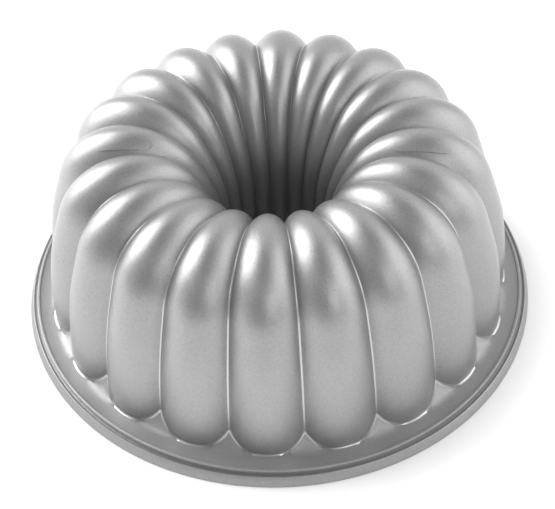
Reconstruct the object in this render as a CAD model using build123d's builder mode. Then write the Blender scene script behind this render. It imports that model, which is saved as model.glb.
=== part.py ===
"""Cast-aluminium bundt pan, standing crown up on its rim.  Millimetres, +Z up.

The origin is the centre of the rim plane, where the pan rests.  Twenty equal flutes run up the
outer wall, over the crown and down the centre tube.  The line where two flutes meet is called the
crease; its meridian, drawn with the radius as X and the height as Y, drives the whole pan.
"""
from build123d import *
from math import atan, atan2, cos, degrees, radians, sin, tan
import os

os.makedirs("parts", exist_ok=True)

# flutes
FLUTES = 20
HALF_PITCH = 180 / FLUTES          # degrees from a flute's crest to its crease
RISE_AT_FOOT = 0.42                # crest height over the half chord, at the rim plane
RISE_AT_CROWN = 0.60               # the same, from the upper wall onwards
RISE_SETTLED_Z = 50.0              # height from which the flutes keep their full rise

# crease meridian, from the rim plane up the wall, over the crown and down the tube
CREASE_FOOT_R = 110.8
FOOT_LEAN = 2.0                    # degrees that the wall leans in at the rim plane
WALL_LEAN = 17.0                   # degrees that it leans in under the shoulder
WALL_BOW_R = 240.0
SHOULDER_RUN = 10.9                # straight stretch under the shoulder
CROWN_R = 30.7
CROWN_END = 146.0                  # degrees of turn where the crown gives way to the throat
THROAT_R = 85.0
TUBE_DRAFT = 6.0
TUBE_RUN = 39.0
RUN_OUT = 3.0                      # extra length below the rim plane, trimmed off again
STATIONS = 25                      # sections along one flute
OVERRUN = 3.0                      # degrees that a section's arcs run past its creases

# skins, as depths under the flutes' outer face
CASTING = 3.0
LINING = 0.4
CUTTER = 14.0                      # depth of the solid flute that cuts the flange's inner edge

# where the casting is divided
SHOULDER_Z = 58.0
CROWN_MIDDLE_R = 68.0
CROWN_CEILING_Z = 120.0            # above everything
COLLAR_TOP_Z = 11.0
LINING_FOOT_Z = 0.5

# collar round the tube's open end
COLLAR_FOOT_Z = 4.0
COLLAR_BORE_R = 21.5
COLLAR_OUTER_R = 30.0
COLLAR_EDGE = 1.0

# rim
RIM_R = 130.3                      # sharp corner, which its rounding brings in to 130
RIM_EDGE = 0.5
LIP_TOP_R = 127.9
LIP_TOP_Z = 4.5
CHAMFER_TOP_Z = 5.5
FLANGE_R = 125.8
FLANGE_INNER_R = 104.0             # well inside the flutes, which cut the flange's real edge
FLANGE_Z = 6.0
BEAD_Z = 6.7                       # top of the bead along the flange's outer edge
BEAD_WIDTH = 1.6
BEAD_EDGE = 0.6
WEB_TOP_Z = 13.4                   # height where a crease runs into the flange's web
WEB_SLOPE = 52.0                   # degrees
WEB_COVE_R = 6.0

# plain marking pads on the front flanks of the two side flutes
PAD_RISE = 0.4
PAD_LENGTH = 27.0
PAD_WIDTH = 7.0
PAD_SHARE = 0.5                    # share of the meridian that a pad is centred on
PAD_TURN = 31.0                    # degrees round the flute from its crest
PAD_CUTTER = 6.0                   # half height of the prism that outlines a pad

half = radians(HALF_PITCH)


def crease_meridian():
    """One wire from just under the rim plane to the tube's open end."""
    with BuildLine() as crease:
        lean = Vector(-sin(radians(FOOT_LEAN)), cos(radians(FOOT_LEAN)))
        foot = Vector(CREASE_FOOT_R, 0)
        Line(foot - lean * RUN_OUT, foot)
        bow = JernArc(foot, lean, WALL_BOW_R, WALL_LEAN - FOOT_LEAN)
        shoulder = Line(bow @ 1, bow @ 1 + (bow % 1) * SHOULDER_RUN)
        crown_arc = JernArc(shoulder @ 1, shoulder % 1, CROWN_R, CROWN_END - WALL_LEAN)
        throat = JernArc(crown_arc @ 1, crown_arc % 1, THROAT_R, 180 - TUBE_DRAFT - CROWN_END)
        Line(throat @ 1, throat @ 1 + (throat % 1) * TUBE_RUN)
    return crease.wire()


meridian = crease_meridian()


class Station:
    """A flute's section at one share of the meridian: its plane and its outer circle."""

    def __init__(self, share):
        point = meridian @ share
        along = meridian % share
        self.plane = Plane((point.X * cos(half), 0, point.Y), (0, -1, 0), (along.X, 0, along.Y))
        self.chord = point.X * sin(half)
        settled = min(max(point.Y / RISE_SETTLED_Z, 0), 1)
        self.rise = self.chord * (RISE_AT_FOOT + (RISE_AT_CROWN - RISE_AT_FOOT) * settled)
        self.radius = (self.chord ** 2 + self.rise ** 2) / (2 * self.rise)
        self.sink = self.radius - self.rise
        self.crease_angle = degrees(atan2(self.sink, self.chord))
        self.crease_lean = degrees(atan(along.Y * tan(half)))

    def on_circle(self, radius, angle):
        """A point at an angle round the outer face's centre."""
        turn = radians(angle)
        return Vector(radius * cos(turn), radius * sin(turn) - self.sink)

    def round_crease(self, depth, angle):
        """A point at an angle round the right-hand crease."""
        turn = radians(angle)
        return Vector(self.chord + depth * cos(turn), depth * sin(turn))


def mirrored(point):
    return Vector(-point.X, point.Y)


def face_arc(station, depth):
    """The outer face's arc, or one concentric outside it, from past one crease to past the other."""
    end = station.on_circle(station.radius - depth, station.crease_angle - OVERRUN)
    ThreePointArc(mirrored(end), (0, station.rise - depth), end)
    return end


def skin_arcs(station, depth):
    """The line at a depth under the outer face: an arc, and a round below each crease."""
    shoulder = station.on_circle(station.radius - depth, station.crease_angle)
    start = station.crease_angle + 180
    stop = 270 - station.crease_lean + OVERRUN
    middle = station.round_crease(depth, (start + stop) / 2)
    end = station.round_crease(depth, stop)
    ThreePointArc(mirrored(shoulder), (0, station.rise - depth), shoulder)
    ThreePointArc(shoulder, middle, end)
    ThreePointArc(mirrored(shoulder), mirrored(middle), mirrored(end))
    return end


def base_line(station, depth):
    """A straight line at a depth under the chord."""
    end = Vector(station.chord, -depth)
    Line(mirrored(end), end)
    return end


def fluted_strip(outer_line, outer_depth, inner_line, inner_depth):
    """One flute between two lines, from the rim plane to the tube's end, trimmed at its creases."""
    with BuildPart() as strip:
        for step in range(STATIONS):
            station = Station(step / (STATIONS - 1))
            with BuildSketch(station.plane):
                with BuildLine():
                    outer = outer_line(station, outer_depth)
                    inner = inner_line(station, inner_depth)
                    Line(outer, inner)
                    Line(mirrored(outer), mirrored(inner))
                make_face()
        loft()
        for side in (1, -1):
            crease_plane = Plane((0, 0, 0), (0, 0, 1), (-sin(half), side * cos(half), 0))
            split(bisect_by=crease_plane, keep=Keep.BOTTOM)
    return strip.part


def between(strip, low, high):
    """The part of a strip between two heights."""
    with BuildPart() as piece:
        add(strip)
        split(bisect_by=Plane.XY.offset(low), keep=Keep.TOP)
        split(bisect_by=Plane.XY.offset(high), keep=Keep.BOTTOM)
    return piece.part


def one_side(strip, keep):
    """The part of a strip outside or inside the crown's middle."""
    with BuildPart() as piece:
        add(strip)
        split(bisect_by=Plane.YZ.offset(CROWN_MIDDLE_R), keep=keep)
    return piece.part


def flange_sector():
    """The flange and its web along one flute, cut back to the flute's outer face."""
    web_foot_r = CREASE_FOOT_R + (WEB_TOP_Z - FLANGE_Z) / tan(radians(WEB_SLOPE))
    web_peak_z = FLANGE_Z + (web_foot_r - FLANGE_INNER_R) * tan(radians(WEB_SLOPE))
    bead_inner_r = FLANGE_R - BEAD_WIDTH
    with BuildPart() as sector:
        with BuildSketch(Plane.XZ.rotated((0, 0, -HALF_PITCH))) as profile:
            with BuildLine():
                Polyline((FLANGE_INNER_R, 0), (FLANGE_R, 0), (FLANGE_R, BEAD_Z), (bead_inner_r, BEAD_Z),
                         (bead_inner_r, FLANGE_Z), (web_foot_r, FLANGE_Z), (FLANGE_INNER_R, web_peak_z),
                         close=True)
            make_face()
            corners = profile.vertices()
            fillet(corners.filter_by_position(Axis.X, web_foot_r - 1, web_foot_r + 1), WEB_COVE_R)
            bead_top = profile.vertices().filter_by_position(Axis.Y, BEAD_Z - 0.1, BEAD_Z + 0.1)
            fillet(bead_top.filter_by_position(Axis.X, bead_inner_r - 1, RIM_R), BEAD_EDGE)
        revolve(axis=Axis.Z, revolution_arc=2 * HALF_PITCH)
        add(solid_flute, mode=Mode.SUBTRACT)
    return sector.part


cast_flute = fluted_strip(face_arc, 0, skin_arcs, CASTING)
lining_flute = fluted_strip(skin_arcs, CASTING, skin_arcs, CASTING + LINING)
solid_flute = fluted_strip(face_arc, 0, base_line, CUTTER)
raised_flute = fluted_strip(face_arc, -PAD_RISE, face_arc, 0)

wall_flute = one_side(between(cast_flute, 0, SHOULDER_Z), Keep.TOP)
crown_flute = between(cast_flute, SHOULDER_Z, CROWN_CEILING_Z)
tube_flute = one_side(between(cast_flute, COLLAR_TOP_Z, SHOULDER_Z), Keep.BOTTOM)
trimmed_lining = between(lining_flute, LINING_FOOT_Z, CROWN_CEILING_Z)
flange_piece = flange_sector()

# outer wall, open below
with BuildPart() as fluted_wall:
    with PolarLocations(0, FLUTES):
        add(wall_flute)
fluted_wall.part.label = "fluted_wall"
export_step(fluted_wall.part, "parts/fluted_wall.step")

# domed crown that joins the wall to the tube
with BuildPart() as fluted_crown:
    with PolarLocations(0, FLUTES):
        add(crown_flute)
fluted_crown.part.label = "fluted_crown"
export_step(fluted_crown.part, "parts/fluted_crown.step")

# centre tube
with BuildPart() as centre_tube:
    with PolarLocations(0, FLUTES):
        add(tube_flute)
centre_tube.part.label = "centre_tube"
export_step(centre_tube.part, "parts/centre_tube.step")

# plain collar round the tube's open end
with BuildPart() as tube_collar:
    with BuildSketch(Plane.XY.offset(COLLAR_FOOT_Z)):
        Circle(COLLAR_OUTER_R)
        Circle(COLLAR_BORE_R, mode=Mode.SUBTRACT)
    extrude(amount=COLLAR_TOP_Z - COLLAR_FOOT_Z)
    foot_edges = tube_collar.faces().sort_by(Axis.Z)[0].edges()
    fillet(foot_edges, COLLAR_EDGE)
tube_collar.part.label = "tube_collar"
export_step(tube_collar.part, "parts/tube_collar.step")

# flange, with a web that climbs between each two flutes
with BuildPart() as rim_flange:
    with PolarLocations(0, FLUTES):
        add(flange_piece)
rim_flange.part.label = "rim_flange"
export_step(rim_flange.part, "parts/rim_flange.step")

# flared lip round the flange
with BuildPart() as rim_lip:
    with BuildSketch(Plane.XZ) as lip_profile:
        with BuildLine():
            Polyline((FLANGE_R, 0), (RIM_R, 0), (LIP_TOP_R, LIP_TOP_Z), (FLANGE_R, CHAMFER_TOP_Z), close=True)
        make_face()
        fillet(lip_profile.vertices().filter_by_position(Axis.X, LIP_TOP_R - 0.1, RIM_R + 0.1), RIM_EDGE)
    revolve(axis=Axis.Z)
rim_lip.part.label = "rim_lip"
export_step(rim_lip.part, "parts/rim_lip.step")

# sprayed lining on the batter side, from the rim over the crown's underside to the collar
with BuildPart() as lined_flute:
    add(trimmed_lining)
    with BuildSketch():
        Circle(CROWN_MIDDLE_R)
    extrude(amount=COLLAR_TOP_Z, mode=Mode.SUBTRACT)
with BuildPart() as nonstick_lining:
    with PolarLocations(0, FLUTES):
        add(lined_flute.part)
nonstick_lining.part.label = "nonstick_lining"
export_step(nonstick_lining.part, "parts/nonstick_lining.step")

# blank marking pads, one on the front flank of each side flute
pad_station = Station(PAD_SHARE)
pad_centre = pad_station.plane.from_local_coords(Vector(0, -pad_station.sink))
pad_point = pad_station.plane.from_local_coords(pad_station.on_circle(pad_station.radius, 90 - PAD_TURN))
with BuildPart() as marking_pads:
    with BuildSketch(Plane(pad_point, pad_station.plane.z_dir, pad_point - pad_centre)):
        SlotOverall(PAD_LENGTH, PAD_WIDTH)
    extrude(amount=PAD_CUTTER, both=True)
    add(raised_flute, mode=Mode.INTERSECT)
    mirror(about=Plane.YZ)
marking_pads.part.label = "marking_pads"
export_step(marking_pads.part, "parts/marking_pads.step")
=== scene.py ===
"""Cast-aluminium bundt pan, standing crown up on its rim.  Metres, +Z up, in the CAD part's frame."""

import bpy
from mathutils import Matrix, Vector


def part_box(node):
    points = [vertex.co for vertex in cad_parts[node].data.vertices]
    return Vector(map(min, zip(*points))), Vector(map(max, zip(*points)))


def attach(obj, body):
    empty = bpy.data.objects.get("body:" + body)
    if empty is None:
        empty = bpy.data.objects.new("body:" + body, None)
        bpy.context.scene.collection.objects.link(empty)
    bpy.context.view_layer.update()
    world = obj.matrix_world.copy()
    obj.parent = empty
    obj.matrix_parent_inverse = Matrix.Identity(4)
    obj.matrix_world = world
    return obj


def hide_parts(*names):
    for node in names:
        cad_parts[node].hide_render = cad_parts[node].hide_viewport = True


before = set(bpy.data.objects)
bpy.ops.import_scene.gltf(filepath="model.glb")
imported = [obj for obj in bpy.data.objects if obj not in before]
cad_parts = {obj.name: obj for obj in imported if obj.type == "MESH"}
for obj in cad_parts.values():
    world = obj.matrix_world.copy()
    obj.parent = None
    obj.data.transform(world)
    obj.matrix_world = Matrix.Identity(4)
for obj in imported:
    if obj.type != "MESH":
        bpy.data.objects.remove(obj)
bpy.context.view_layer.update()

from math import atan, cos, degrees, atan2, hypot, pi, radians, sin, tan

import bmesh
import bpy
from mathutils import Matrix, Vector

bl_info = {
    "name": "Cast Bundt Pan",
    "version": (1, 0, 0),
    "blender": (4, 5, 0),
    "location": "3D View > Sidebar > Bundt Pan",
    "description": "Models a fluted cake pan in cast aluminium over its CAD frame",
    "category": "Object",
}

BODY = "root"
WELD = 2e-6                 # welds the copies of one flute, and nothing else
INSIDE_WALL = 0.09          # a radius between the outer wall and the centre tube
SMOOTH = 40                 # edges sharper than this many degrees stay crisp

rim_low, rim_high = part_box("rim_lip")
flange_low, flange_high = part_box("rim_flange")
collar_low, collar_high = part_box("tube_collar")


# ---------------------------------------------------------------- sizes and colours

def length(name, description, default):
    return bpy.props.FloatProperty(name=name, description=description, default=default, min=0.0,
                                   precision=4, unit="LENGTH")


def angle(name, description, default):
    return bpy.props.FloatProperty(name=name, description=description, default=radians(default),
                                   subtype="ANGLE")


def share(name, description, default):
    return bpy.props.FloatProperty(name=name, description=description, default=default, min=0.0,
                                   max=1.0, subtype="FACTOR")


def colour(name, description, default):
    return bpy.props.StringProperty(name=name, description=description, default=default)


class PanSizes(bpy.types.PropertyGroup):
    """Sizes of the casting, its rim and its lining."""
    flutes: bpy.props.IntProperty(name="Flutes", description="Equal flutes round the pan", default=20,
                                  min=8, max=40)
    foot_radius: length("Crease radius", "Radius of a crease at the rim plane", 0.1108)
    foot_lean: angle("Foot lean", "Inward lean of the wall at the rim plane", 2)
    wall_lean: angle("Wall lean", "Inward lean of the wall under the shoulder", 17)
    wall_bow: length("Wall bow", "Radius of the wall's gentle bow", 0.240)
    shoulder_run: length("Shoulder run", "Straight stretch under the shoulder", 0.0109)
    crown_radius: length("Crown radius", "Radius of the domed crown", 0.0307)
    crown_end: angle("Crown end", "Turn at which the crown gives way to the throat", 146)
    throat_radius: length("Throat radius", "Radius of the throat into the centre tube", 0.085)
    tube_draft: angle("Tube draft", "Taper of the centre tube", 6)
    rise_at_foot: share("Rise at foot", "Crest height over the half chord at the rim plane", 0.42)
    rise_at_crown: share("Rise at crown", "Crest height over the half chord from the upper wall on", 0.60)
    rise_settled: length("Rise settled", "Height from which the flutes keep their full rise", 0.050)
    crease_round: bpy.props.FloatProperty(name="Crease round", subtype="PERCENTAGE", default=40.0,
                                          description="Share of a column that the crease's round takes")
    casting: length("Casting", "Wall thickness of the casting", 0.003)
    lining: length("Lining", "Thickness of the sprayed lining", 0.0004)
    flange_top: length("Flange top", "Height of the flange's upper face", 0.0060)
    web_top: length("Web top", "Height at which a web meets its crease", 0.0136)
    web_slope: angle("Web slope", "Slope of a web, from the horizontal", 56.5)
    web_foot: length("Web foot", "Radius at which the webs run out into the flange", 0.1190)
    foot_round: length("Foot round", "Round where the flutes stand on the flange", 0.0010)
    bead_width: length("Bead width", "Width of the bead along the flange's edge", 0.0016)
    bead_height: length("Bead height", "Height of that bead over the flange", 0.0007)


class PanFinish(bpy.types.PropertyGroup):
    """Colours and finish of the metal, the lining and the ground."""
    metal: colour("Metal", "Colour of the cast aluminium", "#A2A2A2")
    # painted highlight: the paler colour laid on the crease rounds and on the flange's rounded edges
    metal_painted_highlight: colour("Metal bright", "Colour of the burnished creases", "#BEBEBE")
    metal_dull: colour("Metal dull", "Colour of the duller patches", "#999999")
    lining: colour("Lining", "Colour of the non-stick lining", "#2B2B2D")
    lining_pale: colour("Lining pale", "Colour of the lining's flecks", "#4A4A4D")
    ground: colour("Ground", "Colour of the ground sheet", "#F7F7F7")
    roughness: share("Roughness", "Roughness of the blasted metal", 0.31)


class PanStage(bpy.types.PropertyGroup):
    """Viewing angle and lens."""
    view_turn: angle("View turn", "Direction that the camera stands in, from the X axis", -85.631)
    view_rise: angle("View rise", "Height of the camera over the horizon", 45.836)
    view_roll: angle("View roll", "Roll of the camera", -2.476)
    view_distance: length("View distance", "Distance from the camera to the pan", 0.6237)
    view_height: length("View height", "Height of the point that the camera looks at", 0.0177)
    lens: bpy.props.FloatProperty(name="Lens", description="Focal length in millimetres", default=78.1)


# ---------------------------------------------------------------- modelling helpers

def new_piece(name, add, **settings):
    """A primitive at its size and place, as an object at the origin with that name, in edit mode."""
    bpy.ops.object.select_all(action="DESELECT")
    add(**settings)
    piece = bpy.context.active_object
    piece.name = name
    piece.data.name = name
    bpy.ops.object.transform_apply(location=True, rotation=True, scale=True)
    bpy.ops.object.mode_set(mode="EDIT")
    bpy.ops.mesh.select_all(action="SELECT")
    return piece


def copy_piece(source, name):
    """A copy of a piece with its own mesh, in edit mode."""
    bpy.ops.object.select_all(action="DESELECT")
    piece = source.copy()
    piece.data = source.data.copy()
    piece.name = name
    piece.data.name = name
    bpy.context.collection.objects.link(piece)
    bpy.context.view_layer.objects.active = piece
    piece.select_set(True)
    piece.hide_render = False
    bpy.ops.object.mode_set(mode="EDIT")
    return piece


def pick(piece, kind, test):
    """Selects the vertices, edges or faces that pass a test, and returns how many did."""
    bpy.ops.mesh.select_mode(type=kind)
    bpy.ops.mesh.select_all(action="DESELECT")
    mesh = bmesh.from_edit_mesh(piece.data)
    elements = {"VERT": mesh.verts, "EDGE": mesh.edges, "FACE": mesh.faces}[kind]
    found = [element for element in elements if test(element)]
    for element in found:
        element.select_set(True)
    mesh.select_flush_mode()
    bmesh.update_edit_mesh(piece.data)
    return len(found)


def picked_places(piece):
    """Places of the selected vertices, rounded so that they can be compared."""
    mesh = bmesh.from_edit_mesh(piece.data)
    return {place_of(vertex) for vertex in mesh.verts if vertex.select}


def place_of(vertex):
    return tuple(round(value, 6) for value in vertex.co)


def radius_of(vertex):
    return hypot(vertex.co.x, vertex.co.y)


def from_crease(vertex, flutes):
    """Turn between a vertex and the nearest crease, in flutes."""
    turn = degrees(atan2(vertex.co.y, vertex.co.x)) * flutes / 360 - 0.5
    return abs(turn - round(turn))


def on_crease(vertex, flutes):
    """Whether a vertex lies in the upright plane between two flutes."""
    return from_crease(vertex, flutes) < 0.002


def ring_edge(radius, height, slack=2e-5):
    """A test for the edges of the circle at a radius and height."""
    def test(edge):
        return all(abs(radius_of(v) - radius) < slack and abs(v.co.z - height) < slack for v in edge.verts)
    return test


def array_round(copies, weld):
    """Repeats the whole mesh round the Z axis and welds the seams."""
    bpy.ops.mesh.select_all(action="SELECT")
    bpy.ops.mesh.spin(steps=copies - 1, dupli=True, angle=2 * pi * (copies - 1) / copies,
                      center=(0, 0, 0), axis=(0, 0, 1))
    bpy.ops.mesh.select_all(action="SELECT")
    bpy.ops.mesh.remove_doubles(threshold=weld)


def extrude_ring(scale, rise, flatten_to=None):
    """Extrudes the selected ring, scales it about the Z axis and lifts it."""
    bpy.ops.mesh.extrude_edges_indiv()
    if flatten_to is not None:
        bpy.ops.transform.resize(value=(1, 1, 0), center_override=(0, 0, flatten_to))
    bpy.ops.transform.resize(value=(scale, scale, 1), center_override=(0, 0, 0))
    if rise:
        bpy.ops.transform.translate(value=(0, 0, rise))


def turned_ring(name, profile, columns):
    """A solid ring turned from a closed profile of (radius, height) corners, in edit mode."""
    start_radius, start_height = profile[0]
    piece = new_piece(name, bpy.ops.mesh.primitive_circle_add, vertices=columns, radius=start_radius,
                      location=(0, 0, start_height))
    radius, height = start_radius, start_height
    for next_radius, next_height in profile[1:] + profile[:1]:
        extrude_ring(next_radius / radius, next_height - height)
        radius, height = next_radius, next_height
    bpy.ops.mesh.select_all(action="SELECT")
    bpy.ops.mesh.remove_doubles(threshold=WELD)
    bpy.ops.mesh.normals_make_consistent(inside=False)
    return piece


def round_edges(piece, test, size, segments):
    """Rounds the edges that pass a test."""
    if not pick(piece, "EDGE", test):
        raise RuntimeError(f"{piece.name} has no edge to round there")
    bpy.ops.mesh.bevel(offset=size, offset_type="OFFSET", segments=segments, profile=0.5,
                       affect="EDGES", clamp_overlap=False)


def solidify(piece, thickness):
    """Gives a sheet its thickness on the inner side."""
    bpy.ops.object.mode_set(mode="OBJECT")
    bpy.ops.object.modifier_add(type="SOLIDIFY")
    modifier = piece.modifiers[-1]
    modifier.thickness = thickness
    modifier.offset = -1
    modifier.use_even_offset = True
    bpy.ops.object.modifier_apply(modifier=modifier.name)


def finish_piece(piece, material, nodes, smooth=SMOOTH):
    """Shades a piece, gives it its material, attaches it to the body and hides the CAD nodes that it
    stands for.
    """
    if piece.mode == "EDIT":
        bpy.ops.object.mode_set(mode="OBJECT")
    bpy.ops.object.select_all(action="DESELECT")
    piece.select_set(True)
    bpy.context.view_layer.objects.active = piece
    bpy.ops.object.shade_smooth_by_angle(angle=radians(smooth))
    piece.data.materials.clear()
    piece.data.materials.append(material)
    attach(piece, BODY)
    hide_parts(*nodes)


def paint_highlight(piece, test):
    """Paints a highlight: gives the faces that pass a test the brighter metal colour."""
    piece.data.materials.append(material_named("cast_aluminium_painted_highlight", painted_highlight_aluminium))
    bpy.ops.object.mode_set(mode="EDIT")
    pick(piece, "FACE", test)
    piece.active_material_index = 1
    bpy.ops.object.material_slot_assign()
    bpy.ops.object.mode_set(mode="OBJECT")


# ---------------------------------------------------------------- the flutes

HALF_COLUMNS = 9            # columns from a flute's crest to its crease
TUBE_OVERLAP = 0.0006       # how far the tube reaches into its collar
NEAR_FOOT = 0.0012          # a skin's foot is levelled below this height
LINING_FOOT = 0.0005        # the lining stops this far over the rim plane


def crease_rows(sizes):
    """The crease's meridian as (radius, height, lean), from the rim plane down into the collar."""
    rows = [(sizes.foot_radius, 0.0, sizes.foot_lean)]

    def bend(bend_radius, end_lean, steps):
        radius, height, start = rows[-1]
        for step in range(1, steps + 1):
            lean = start + (end_lean - start) * step / steps
            rows.append((radius + bend_radius * (cos(lean) - cos(start)),
                         height + bend_radius * (sin(lean) - sin(start)), lean))

    def run(distance, steps):
        radius, height, lean = rows[-1]
        for step in range(1, steps + 1):
            part = distance * step / steps
            rows.append((radius - part * sin(lean), height + part * cos(lean), lean))

    bend(sizes.wall_bow, sizes.wall_lean, 18)
    run(sizes.shoulder_run, 3)
    bend(sizes.crown_radius, sizes.crown_end, 30)
    bend(sizes.throat_radius, pi - sizes.tube_draft, 11)
    tube_foot = collar_high.z - TUBE_OVERLAP
    run((rows[-1][1] - tube_foot) / cos(sizes.tube_draft), 7)
    return rows


def flute_section(row, sizes):
    """Middle of the chord between the creases, half that chord, and the crest's rise over it."""
    radius, height, _ = row
    half_turn = pi / sizes.flutes
    settled = min(max(height / sizes.rise_settled, 0), 1)
    chord = radius * sin(half_turn)
    rise = chord * (sizes.rise_at_foot + (sizes.rise_at_crown - sizes.rise_at_foot) * settled)
    return Vector((radius * cos(half_turn), 0, height)), chord, rise


def flute_sheet(sizes):
    """One flute's outer face, drawn up the wall, over the crown and down the tube."""
    rows = crease_rows(sizes)
    middle, chord, rise = flute_section(rows[0], sizes)
    lean = rows[0][2]
    circle_points = round(HALF_COLUMNS * pi / atan(sizes.rise_at_foot))
    half_arc = HALF_COLUMNS * 2 * pi / circle_points
    arc_radius = chord / sin(half_arc)
    rise = arc_radius * (1 - cos(half_arc))
    outward = Vector((cos(lean), 0, sin(lean)))
    centre = middle - outward * (arc_radius - rise)
    sheet = new_piece("flute", bpy.ops.mesh.primitive_circle_add, vertices=circle_points,
                      radius=arc_radius, location=centre, rotation=(lean, 0, -pi / 2))
    slack = arc_radius * 1e-3
    pick(sheet, "VERT", lambda vertex: (vertex.co - centre).dot(outward) < arc_radius - rise - slack)
    bpy.ops.mesh.delete(type="VERT")
    bpy.ops.mesh.select_mode(type="EDGE")
    bpy.ops.mesh.select_all(action="SELECT")
    for row in rows[1:]:
        next_middle, next_chord, next_rise = flute_section(row, sizes)
        bpy.ops.mesh.extrude_edges_indiv()
        bpy.ops.transform.rotate(value=row[2] - lean, orient_axis="Y", center_override=middle)
        growth = next_rise / rise
        bpy.ops.transform.resize(value=(growth, next_chord / chord, growth), center_override=middle)
        bpy.ops.transform.translate(value=next_middle - middle)
        middle, chord, rise, lean = next_middle, next_chord, next_rise, row[2]
    bpy.ops.object.mode_set(mode="OBJECT")
    sheet.hide_render = True
    return sheet


def fluted_ring(sheet, name, sizes, round_segments):
    """All the flutes as one open sheet, with the creases rounded."""
    piece = copy_piece(sheet, name)
    array_round(sizes.flutes, WELD)
    bpy.ops.mesh.normals_make_consistent(inside=False)
    pick(piece, "EDGE", lambda edge: all(on_crease(vertex, sizes.flutes) for vertex in edge.verts))
    bpy.ops.mesh.bevel(offset_pct=sizes.crease_round, offset_type="PERCENT", segments=round_segments,
                       profile=0.5, affect="EDGES", clamp_overlap=False)
    bpy.ops.mesh.select_all(action="SELECT")
    bpy.ops.mesh.normals_make_consistent(inside=False)
    return piece


def level_foot(piece, height):
    """Brings the foot of a fluted skin to one level."""
    bpy.ops.object.mode_set(mode="EDIT")
    pick(piece, "VERT", lambda vertex: vertex.co.z < NEAR_FOOT and radius_of(vertex) > INSIDE_WALL)
    bpy.ops.transform.resize(value=(1, 1, 0), center_override=(0, 0, height))


# ---------------------------------------------------------------- materials

GLOW_LEFT, GLOW_RIGHT = 0.45, 0.30       # painted light: the ground sheet glows more on the left than on the right
GLOW_START, GLOW_FULL = 0.126, 0.150     # radii between which that painted glow sets in, clear of the pan, so that the ground stays darker close round the pan


def linear(hex_colour):
    """A linear RGBA colour from an sRGB hex colour."""
    parts = [int(hex_colour[start:start + 2], 16) / 255 for start in (1, 3, 5)]
    curve = (part / 12.92 if part <= 0.04045 else ((part + 0.055) / 1.055) ** 2.4 for part in parts)
    return tuple(curve) + (1.0,)


def add_node(tree, kind, settings=None, **links):
    """Adds a node with its settings, and links or sets its inputs by name, or as i0, i1 by number."""
    node = tree.nodes.new(kind)
    for key, value in (settings or {}).items():
        setattr(node, key, value)
    for key, value in links.items():
        by_number = key[0] == "i" and key[1:].isdigit()
        socket = node.inputs[int(key[1:]) if by_number else key.replace("_", " ")]
        if isinstance(value, bpy.types.NodeSocket):
            tree.links.new(value, socket)
        else:
            socket.default_value = value
    return node


def new_material(name):
    """An empty material with its tree and the object's own coordinates."""
    material = bpy.data.materials.new(name)
    material.use_nodes = True
    tree = material.node_tree
    tree.nodes.clear()
    place = add_node(tree, "ShaderNodeTexCoord").outputs["Object"]
    return material, tree, place


def per_metre(millimetres):
    """Texture scale for a feature of that size."""
    return 1000 / millimetres


def blasted_aluminium(finish, name="blasted_cast_aluminium", metallic=0.68, duller=0.0):
    """Cast aluminium, blasted to a fine satin grain that glints.  The grain is drawn coarser than it is,
    so that it shows."""
    material, tree, place = new_material(name)
    patches = add_node(tree, "ShaderNodeTexNoise", Vector=place, Scale=per_metre(1.0), Detail=4.0,
                       Roughness=0.8)
    grain = add_node(tree, "ShaderNodeTexNoise", Vector=place, Scale=per_metre(0.9), Detail=4.0,
                     Roughness=0.8)
    patch = add_node(tree, "ShaderNodeMapRange", Value=patches.outputs["Fac"], From_Min=0.40,
                     From_Max=0.60, To_Min=0.0, To_Max=1.0)
    tone = add_node(tree, "ShaderNodeMix", {"data_type": "RGBA"}, i0=patch.outputs["Result"],
                    i6=linear(finish.metal), i7=linear(finish.metal_dull))
    middle = finish.roughness + duller
    rough = add_node(tree, "ShaderNodeMapRange", Value=grain.outputs["Fac"], From_Min=0.3, From_Max=0.7,
                     To_Min=middle - 0.05, To_Max=middle + 0.06)
    bump = add_node(tree, "ShaderNodeBump", Height=grain.outputs["Fac"], Strength=0.6, Distance=0.00022)
    shader = add_node(tree, "ShaderNodeBsdfPrincipled", Base_Color=tone.outputs[2], Metallic=metallic,
                      Roughness=rough.outputs["Result"], Normal=bump.outputs["Normal"])
    add_node(tree, "ShaderNodeOutputMaterial", Surface=shader.outputs["BSDF"])
    return material


def flange_aluminium(finish):
    """The same metal on the level flange, blasted harder, so that it looks paler and more even."""
    return blasted_aluminium(finish, "blasted_flange_aluminium", metallic=0.40, duller=0.06)


def painted_highlight_aluminium(finish):
    """Painted highlight: the same casting drawn brighter in the creases and at the foot, where highlights
    fall.
    """
    material, tree, place = new_material("cast_aluminium_painted_highlight")
    grain = add_node(tree, "ShaderNodeTexNoise", Vector=place, Scale=per_metre(0.9), Detail=2.0)
    rough = add_node(tree, "ShaderNodeMapRange", Value=grain.outputs["Fac"], From_Min=0.3, From_Max=0.7,
                     To_Min=0.30, To_Max=0.40)
    bump = add_node(tree, "ShaderNodeBump", Height=grain.outputs["Fac"], Strength=0.15, Distance=0.0002)
    shader = add_node(tree, "ShaderNodeBsdfPrincipled", Base_Color=linear(finish.metal_painted_highlight),
                      Metallic=1.0, Roughness=rough.outputs["Result"], Normal=bump.outputs["Normal"])
    add_node(tree, "ShaderNodeOutputMaterial", Surface=shader.outputs["BSDF"])
    return material


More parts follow.
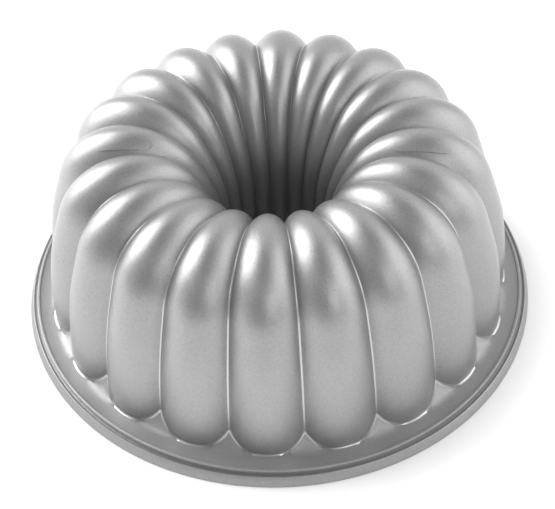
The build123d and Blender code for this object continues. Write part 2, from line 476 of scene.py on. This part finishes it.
def sprayed_lining(finish):
    """Dark sprayed non-stick lining with pale flecks and a light orange peel."""
    material, tree, place = new_material("sprayed_nonstick_lining")
    flecks = add_node(tree, "ShaderNodeTexNoise", Vector=place, Scale=per_metre(0.7), Detail=2.0)
    orange_peel = add_node(tree, "ShaderNodeTexNoise", Vector=place, Scale=per_metre(1.6), Detail=1.0)
    fleck = add_node(tree, "ShaderNodeMapRange", Value=flecks.outputs["Fac"], From_Min=0.60,
                     From_Max=0.72, To_Min=0.0, To_Max=1.0)
    tone = add_node(tree, "ShaderNodeMix", {"data_type": "RGBA"}, i0=fleck.outputs["Result"],
                    i6=linear(finish.lining), i7=linear(finish.lining_pale))
    bump = add_node(tree, "ShaderNodeBump", Height=orange_peel.outputs["Fac"], Strength=0.2,
                    Distance=0.0001)
    shader = add_node(tree, "ShaderNodeBsdfPrincipled", Base_Color=tone.outputs[2], Metallic=0.0,
                      Roughness=0.42, IOR=1.45, Normal=bump.outputs["Normal"])
    add_node(tree, "ShaderNodeOutputMaterial", Surface=shader.outputs["BSDF"])
    return material


def ground_sheet(finish):
    """Plain pale paper sweep with painted light: it glows, more on the left than on the right and not
    close round the pan, so that it stays white.
    """
    material, tree, place = new_material("paper_ground_painted_glow")
    fibres = add_node(tree, "ShaderNodeTexNoise", Vector=place, Scale=per_metre(2.0), Detail=2.0)
    bump = add_node(tree, "ShaderNodeBump", Height=fibres.outputs["Fac"], Strength=0.05, Distance=0.0001)
    from_centre = add_node(tree, "ShaderNodeVectorMath", {"operation": "LENGTH"}, i0=place)
    # painted shade: the glow fades out close round the pan, leaving the ground darker there
    clear = add_node(tree, "ShaderNodeMapRange", Value=from_centre.outputs["Value"],
                     From_Min=GLOW_START, From_Max=GLOW_FULL, To_Min=0.0, To_Max=1.0)
    axes = add_node(tree, "ShaderNodeSeparateXYZ", Vector=place)
    # painted light: more glow on the left than on the right
    side = add_node(tree, "ShaderNodeMapRange", Value=axes.outputs["X"], From_Min=-0.30, From_Max=0.20,
                    To_Min=GLOW_LEFT, To_Max=GLOW_RIGHT)
    glow = add_node(tree, "ShaderNodeMath", {"operation": "MULTIPLY"}, i0=clear.outputs["Result"],
                    i1=side.outputs["Result"])
    shader = add_node(tree, "ShaderNodeBsdfPrincipled", Base_Color=linear(finish.ground), Roughness=0.9,
                      Normal=bump.outputs["Normal"], Emission_Color=(1.0, 1.0, 1.0, 1.0),
                      Emission_Strength=glow.outputs["Value"])
    add_node(tree, "ShaderNodeOutputMaterial", Surface=shader.outputs["BSDF"])
    return material


def material_named(name, make):
    """The material if it is already there, or a new one."""
    return bpy.data.materials.get(name) or make(bpy.context.scene.pan_finish)


# ---------------------------------------------------------------- operators

class PAN_OT_fluted_shell(bpy.types.Operator):
    """Models the fluted wall, crown and centre tube as one continuous casting"""
    bl_idname = "pan.fluted_shell"
    bl_label = "Fluted Shell"

    def execute(self, context):
        sizes = context.scene.pan_sizes
        sheet = flute_sheet(sizes)
        shell = fluted_ring(sheet, "fluted_shell", sizes, 4)
        solidify(shell, sizes.casting)
        level_foot(shell, 0.0)
        metal = material_named("blasted_cast_aluminium", blasted_aluminium)
        finish_piece(shell, metal, ("fluted_wall", "fluted_crown", "centre_tube"))
        # painted highlight along the creases
        paint_highlight(shell, lambda face: any(on_crease(vertex, sizes.flutes) for vertex in face.verts))
        return {"FINISHED"}


class PAN_OT_lining(bpy.types.Operator):
    """Models the sprayed lining on the batter side"""
    bl_idname = "pan.lining"
    bl_label = "Non-stick Lining"

    def execute(self, context):
        sizes = context.scene.pan_sizes
        lining = fluted_ring(bpy.data.objects["flute"], "nonstick_coat", sizes, 6)
        bpy.ops.mesh.select_all(action="SELECT")
        bpy.ops.transform.shrink_fatten(value=-sizes.casting, use_even_offset=True)
        solidify(lining, sizes.lining)
        level_foot(lining, LINING_FOOT)
        coat = material_named("sprayed_nonstick_lining", sprayed_lining)
        finish_piece(lining, coat, ("nonstick_lining",))
        return {"FINISHED"}


ABOVE_WEBS = 0.030          # a height over every web, where the flutes are cut off
CREST_SLACK = 1e-6          # how near the crest's plane a vertex counts as in it
FOOT_WELD = 1e-5            # welds the foot lines of neighbouring flutes
FOOT_HEIGHT = 0.020         # the foot line runs wholly below this height
FOOT_TUCK = 0.00004         # sets the hidden wall of the foot behind the shell's face
FOOT_RISE = 1.3             # height of that wall, in foot rounds
WALL_DEPTH = 0.0012         # how far the flange reaches into the wall
UNDERSIDE = 0.00006         # keeps the flange's underside over the rim plane
WEB_STEP = 0.0003           # least width between the flutes and the flange's flat
BEAD_ROUND = 0.00045
BEAD_FOOT_ROUND = 0.0002
FLANGE_SMOOTH = 62          # degrees, which lets the shading run from a web into the flat


def flute_foot(flange, sizes):
    """Cuts a copy of one flute down to the line where it meets the flange and its webs, all round."""
    half_turn = pi / sizes.flutes
    crease_radius = sizes.foot_radius - sizes.web_top * tan(sizes.foot_lean)
    along = Vector((cos(half_turn), sin(half_turn), 0))
    web_place = along * crease_radius + Vector((0, 0, sizes.web_top))
    web_normal = along * sin(sizes.web_slope) + Vector((0, 0, cos(sizes.web_slope)))
    cuts = (((0, 0, 0), (0, 1, 0)), ((0, 0, sizes.flange_top), (0, 0, 1)), (web_place, web_normal))
    bpy.ops.mesh.select_all(action="SELECT")
    bpy.ops.mesh.bisect(plane_co=(0, 0, ABOVE_WEBS), plane_no=(0, 0, 1), clear_outer=True)
    for place, normal in cuts:
        bpy.ops.mesh.select_all(action="SELECT")
        bpy.ops.mesh.bisect(plane_co=place, plane_no=normal, clear_inner=True)
    pick(flange, "VERT", lambda vertex: radius_of(vertex) < INSIDE_WALL)
    bpy.ops.mesh.delete(type="VERT")

    def off_foot(edge):
        lined_up = all(on_crease(vertex, sizes.flutes) for vertex in edge.verts)
        middle = all(abs(vertex.co.y) < CREST_SLACK for vertex in edge.verts)
        return not edge.is_boundary or lined_up or middle or edge.verts[0].co.z >= FOOT_HEIGHT

    pick(flange, "EDGE", off_foot)
    bpy.ops.mesh.delete(type="EDGE_FACE")
    bpy.ops.mesh.select_all(action="SELECT")
    bpy.ops.mesh.delete_loose(use_verts=True, use_edges=False, use_faces=False)
    bpy.ops.mesh.select_all(action="SELECT")
    bpy.ops.mesh.duplicate()
    bpy.ops.transform.resize(value=(1, -1, 1), center_override=(0, 0, 0))
    array_round(sizes.flutes, FOOT_WELD)
    bpy.ops.mesh.select_mode(type="EDGE")
    bpy.ops.mesh.select_all(action="SELECT")
    return picked_places(flange), crease_radius


def widen_to_webs(piece, flutes, web_line):
    """Scales the selected ring out, column by column, to the straight foot of each web."""
    mesh = bmesh.from_edit_mesh(piece.data)
    columns = {}
    for vertex in mesh.verts:
        if vertex.select:
            off_crease = from_crease(vertex, flutes) * 360 / flutes
            columns.setdefault(round(off_crease, 2), []).append(vertex)
    targets = []
    for off_crease, column in columns.items():
        radius = radius_of(column[0])
        target = max(web_line / cos(radians(off_crease)), radius + WEB_STEP)
        targets.append(({vertex.index for vertex in column}, target / radius))
    for members, growth in targets:
        pick(piece, "VERT", lambda vertex: vertex.index in members)
        bpy.ops.transform.resize(value=(growth, growth, 1), center_override=(0, 0, 0))
    widened = set().union(*(members for members, _ in targets))
    pick(piece, "VERT", lambda vertex: vertex.index in widened)
    bpy.ops.mesh.select_mode(type="EDGE")


def pick_rings(piece, *rings):
    """Selects the edges that lie wholly in any of the rings of places."""
    pick(piece, "EDGE", lambda edge: any(all(place_of(vertex) in ring for vertex in edge.verts)
                                         for ring in rings))


class PAN_OT_flange(bpy.types.Operator):
    """Models the flange with its webs, foot round and bead"""
    bl_idname = "pan.flange"
    bl_label = "Rim Flange"

    def execute(self, context):
        sizes = context.scene.pan_sizes
        top = sizes.flange_top
        bead_top = top + sizes.bead_height
        outer = -flange_low.x
        flange = copy_piece(bpy.data.objects["flute"], "rim_flange_piece")
        foot, crease_radius = flute_foot(flange, sizes)
        # up the wall, into it, and down to the underside, all hidden but for the round's top
        extrude_ring(1 - FOOT_TUCK / sizes.foot_radius, FOOT_RISE * sizes.foot_round)
        extrude_ring(1 - WALL_DEPTH / sizes.foot_radius, 0)
        extrude_ring(1, 0, flatten_to=UNDERSIDE)
        underside = picked_places(flange)
        # down the webs to their straight feet, and across the flange to a circle
        pick_rings(flange, foot)
        extrude_ring(1, 0, flatten_to=top)
        web_line = crease_radius + (sizes.web_top - top) / tan(sizes.web_slope)
        widen_to_webs(flange, sizes.flutes, web_line)
        extrude_ring(1, 0)
        bpy.ops.transform.tosphere(value=1, center_override=(0, 0, top))
        mesh = bmesh.from_edit_mesh(flange.data)
        radius = max(radius_of(vertex) for vertex in mesh.verts if vertex.select)
        grow = sizes.web_foot / radius
        bpy.ops.transform.resize(value=(grow, grow, 1), center_override=(0, 0, top))
        # out to the bead, over it and down the edge
        bead = outer - sizes.bead_width
        radius = sizes.web_foot
        for next_radius, lift in ((bead, 0), (bead, sizes.bead_height), (outer, 0), (outer, -bead_top)):
            extrude_ring(next_radius / radius, lift)
            radius = next_radius
        edge_foot = picked_places(flange)
        pick_rings(flange, underside, edge_foot)
        bpy.ops.mesh.bridge_edge_loops()
        bpy.ops.mesh.select_all(action="SELECT")
        bpy.ops.mesh.normals_make_consistent(inside=False)
        round_edges(flange, ring_edge(outer, bead_top), BEAD_ROUND, 3)
        round_edges(flange, ring_edge(bead, bead_top), BEAD_ROUND, 3)
        round_edges(flange, ring_edge(bead, top), BEAD_FOOT_ROUND, 2)
        round_edges(flange, lambda edge: all(place_of(vertex) in foot for vertex in edge.verts),
                    sizes.foot_round, 4)
        rounded = picked_places(flange)
        metal = material_named("blasted_flange_aluminium", flange_aluminium)
        finish_piece(flange, metal, ("rim_flange",), smooth=FLANGE_SMOOTH)
        # painted highlight on the rounded edges of the bead and the foot
        paint_highlight(flange, lambda face: all(place_of(vertex) in rounded for vertex in face.verts))
        return {"FINISHED"}


RIM_COLUMNS = 360
LIP_OVERLAP = 0.0002        # how far the lip reaches into the flange
LIP_FOOT = 0.0006           # height of the lip's upright foot
LIP_FOOT_ROUND = 0.0002
GROOVE_WIDTH = 0.0009       # the groove between the bead and the lip's shoulder
GROOVE_DEPTH = 0.0014
SHOULDER_WIDTH = 0.0020     # from the flange's edge out to the shoulder
SHOULDER_DEPTH = 0.0003
SHOULDER_ROUND = 0.0004


class PAN_OT_rim_lip(bpy.types.Operator):
    """Models the flared lip round the flange, with the groove behind its shoulder"""
    bl_idname = "pan.rim_lip"
    bl_label = "Rim Lip"

    def execute(self, context):
        outer = -rim_low.x
        inner = -flange_low.x
        top = rim_high.z
        groove = (inner + GROOVE_WIDTH, top - GROOVE_DEPTH)
        shoulder = (inner + SHOULDER_WIDTH, top - SHOULDER_DEPTH)
        profile = [(inner - LIP_OVERLAP, 0.0), (outer, 0.0), (outer, LIP_FOOT), shoulder,
                   groove, (inner - LIP_OVERLAP, groove[1])]
        lip = turned_ring("rim_lip_piece", profile, RIM_COLUMNS)
        round_edges(lip, ring_edge(*shoulder), SHOULDER_ROUND, 3)
        round_edges(lip, ring_edge(outer, LIP_FOOT), LIP_FOOT_ROUND, 2)
        metal = material_named("blasted_cast_aluminium", blasted_aluminium)
        finish_piece(lip, metal, ("rim_lip",))
        return {"FINISHED"}


COLLAR_COLUMNS = 160
COLLAR_BORE = 0.0215        # radius of the bore
COLLAR_FOOT_ROUND = 0.001
COLLAR_TOP_ROUND = 0.0004


class PAN_OT_tube_collar(bpy.types.Operator):
    """Models the plain collar round the centre tube's open end"""
    bl_idname = "pan.tube_collar"
    bl_label = "Tube Collar"

    def execute(self, context):
        outer = -collar_low.x
        foot, top = collar_low.z, collar_high.z
        profile = [(COLLAR_BORE, foot), (outer, foot), (outer, top), (COLLAR_BORE, top)]
        collar = turned_ring("tube_collar_piece", profile, COLLAR_COLUMNS)
        for radius in (COLLAR_BORE, outer):
            round_edges(collar, ring_edge(radius, foot), COLLAR_FOOT_ROUND, 4)
            round_edges(collar, ring_edge(radius, top), COLLAR_TOP_ROUND, 2)
        metal = material_named("blasted_cast_aluminium", blasted_aluminium)
        finish_piece(collar, metal, ("tube_collar",))
        return {"FINISHED"}


class PAN_OT_marking_pads(bpy.types.Operator):
    """Gives the blank marking pads their metal"""
    bl_idname = "pan.marking_pads"
    bl_label = "Marking Pads"

    def execute(self, context):
        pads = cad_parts["marking_pads"]
        pads.data.materials.clear()
        pads.data.materials.append(material_named("blasted_cast_aluminium", blasted_aluminium))
        return {"FINISHED"}


# name, place, size, power
LIGHTS = (
    ("key_back_left", (-1.1, 0.50, 0.80), (1.0, 1.2), 22.0),
    ("fill_right", (1.35, 0.10, 0.75), (1.7, 1.5), 10.0),
    ("fill_front", (0.70, -1.15, 0.80), (0.35, 0.7), 3.2),
)
LIGHTS_AIM = Vector((0, 0, 0.05))
GROUND_SIZE = 40
GROUND_GAP = 0.0002         # keeps the ground sheet clear of the rim


class PAN_OT_stage(bpy.types.Operator):
    """Lays the ground, sets the light and stands the camera"""
    bl_idname = "pan.stage"
    bl_label = "Stage"

    def execute(self, context):
        self.lay_ground()
        self.light(context.scene)
        self.stand_camera(context.scene)
        context.scene.view_settings.view_transform = "Standard"
        return {"FINISHED"}

    def lay_ground(self):
        bpy.ops.object.select_all(action="DESELECT")
        bpy.ops.mesh.primitive_plane_add(size=GROUND_SIZE, location=(0, 0, -GROUND_GAP))
        ground = bpy.context.active_object
        ground.name = "ground"
        ground.data.materials.append(material_named("paper_ground_painted_glow", ground_sheet))

    def light(self, scene):
        """A pale sky, dimmer overhead and in front of the pan, and three soft lights."""
        world = bpy.data.worlds.new("studio")
        scene.world = world
        world.use_nodes = True
        tree = world.node_tree
        tree.nodes.clear()
        sky = add_node(tree, "ShaderNodeTexCoord").outputs["Generated"]
        towards = add_node(tree, "ShaderNodeSeparateXYZ", Vector=sky)
        low_sky = add_node(tree, "ShaderNodeMapRange", Value=towards.outputs["Z"], From_Min=0.0,
                           From_Max=0.75, To_Min=0.95, To_Max=1.05)
        overhead = add_node(tree, "ShaderNodeMapRange", Value=towards.outputs["Z"], From_Min=0.76,
                            From_Max=0.97, To_Min=1.0, To_Max=0.25)
        front = add_node(tree, "ShaderNodeMapRange", Value=towards.outputs["Y"], From_Min=-0.80,
                         From_Max=-0.15, To_Min=0.35, To_Max=1.0)
        upper = add_node(tree, "ShaderNodeMath", {"operation": "MULTIPLY"},
                         i0=low_sky.outputs["Result"], i1=overhead.outputs["Result"])
        glow = add_node(tree, "ShaderNodeMath", {"operation": "MULTIPLY"}, i0=upper.outputs["Value"],
                        i1=front.outputs["Result"])
        shade = add_node(tree, "ShaderNodeBackground", Color=(1.0, 1.0, 1.0, 1.0),
                         Strength=glow.outputs["Value"])
        add_node(tree, "ShaderNodeOutputWorld", Surface=shade.outputs["Background"])
        for name, place, size, power in LIGHTS:
            bpy.ops.object.light_add(type="AREA", location=place)
            light = bpy.context.active_object
            light.name = name
            light.data.shape = "RECTANGLE"
            light.data.size, light.data.size_y = size
            light.data.energy = power
            light.rotation_euler = (Vector(place) - LIGHTS_AIM).to_track_quat("Z", "Y").to_euler()

    def stand_camera(self, scene):
        stage = scene.pan_stage
        turn, rise = stage.view_turn, stage.view_rise
        back = Vector((cos(turn) * cos(rise), sin(turn) * cos(rise), sin(rise)))
        right = Vector((-sin(turn), cos(turn), 0))
        up = back.cross(right)
        target = Vector((0, 0, stage.view_height))
        bpy.ops.object.camera_add(location=target + back * stage.view_distance)
        camera = bpy.context.active_object
        camera.name = "camera"
        axes = Matrix((right, up, back)).transposed()
        camera.rotation_euler = (axes @ Matrix.Rotation(stage.view_roll, 3, "Z")).to_euler()
        camera.data.lens = stage.lens
        camera.data.sensor_width = 36
        scene.camera = camera


class PAN_PT_sidebar(bpy.types.Panel):
    """Sizes, finish and the steps that make the pan"""
    bl_idname = "PAN_PT_sidebar"
    bl_label = "Bundt Pan"
    bl_space_type = "VIEW_3D"
    bl_region_type = "UI"
    bl_category = "Bundt Pan"

    def draw(self, context):
        layout = self.layout
        for group in (context.scene.pan_sizes, context.scene.pan_finish, context.scene.pan_stage):
            column = layout.box().column()
            for name in group.__annotations__:
                column.prop(group, name)
        for operator in STEPS:
            layout.operator(operator.bl_idname)


STEPS = (PAN_OT_fluted_shell, PAN_OT_lining, PAN_OT_flange, PAN_OT_rim_lip, PAN_OT_tube_collar,
         PAN_OT_marking_pads, PAN_OT_stage)
GROUPS = (PanSizes, PanFinish, PanStage)


def register():
    for item in GROUPS + STEPS + (PAN_PT_sidebar,):
        bpy.utils.register_class(item)
    bpy.types.Scene.pan_sizes = bpy.props.PointerProperty(type=PanSizes)
    bpy.types.Scene.pan_finish = bpy.props.PointerProperty(type=PanFinish)
    bpy.types.Scene.pan_stage = bpy.props.PointerProperty(type=PanStage)


def unregister():
    del bpy.types.Scene.pan_sizes
    del bpy.types.Scene.pan_finish
    del bpy.types.Scene.pan_stage
    for item in reversed(GROUPS + STEPS + (PAN_PT_sidebar,)):
        bpy.utils.unregister_class(item)


def main():
    register()
    for step in STEPS:
        getattr(bpy.ops.pan, step.bl_idname.split(".")[1])()
    bpy.data.objects.remove(bpy.data.objects["flute"])


if __name__ == "__main__":
    main()
